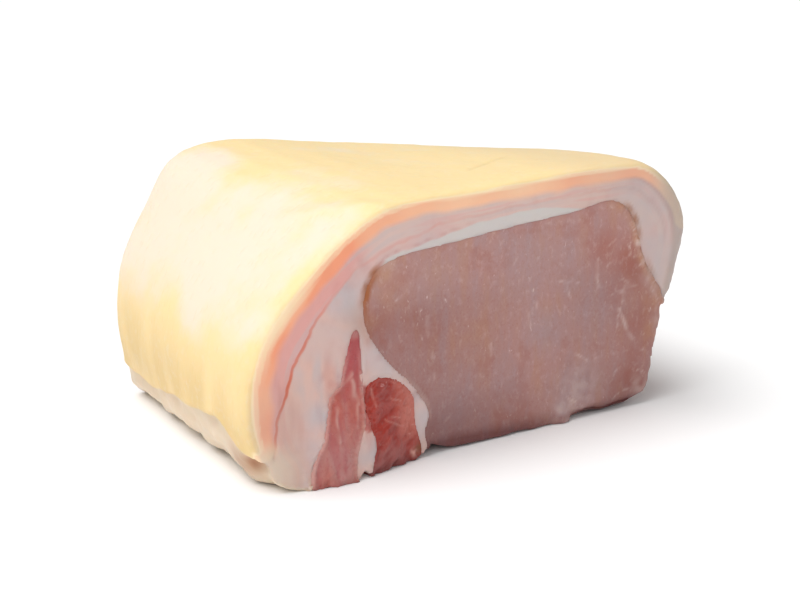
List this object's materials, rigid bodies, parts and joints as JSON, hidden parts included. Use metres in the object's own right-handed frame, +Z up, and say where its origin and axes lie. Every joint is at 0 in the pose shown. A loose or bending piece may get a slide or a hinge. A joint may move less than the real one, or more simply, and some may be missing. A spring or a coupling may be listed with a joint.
{
  "type": "rind-on pork loin",
  "caption": "Boneless joint of raw pork loin with the rind on: a broad eye muscle and smaller dark muscles under a curved cap of fat and cream rind, resting on its flat lean side.",
  "frame": {"origin": "on the surface that the joint rests on, under the middle of its box", "axes": "+X across the near cut end from the flank to the chine side, +Y along the joint from the near cut end to the far one, +Z up"},
  "size_m": [0.1742, 0.114, 0.0893],
  "materials": {
    "rind_and_fat": "cream pork rind with a satin surface, over pale pink fat",
    "pale_lean": "pale pink raw lean, damp, with fine fat flecks",
    "dark_lean": "dark red raw lean, wet, with visible fibres",
    "red_lean": "red-pink raw lean, wet, streaked with fat"
  },
  "bodies": {
    "root": {"fat_cap": "rind_and_fat", "loin_eye": "pale_lean", "side_muscle": "dark_lean", "flank_lean": "red_lean"}
  },
  "joints": []
}
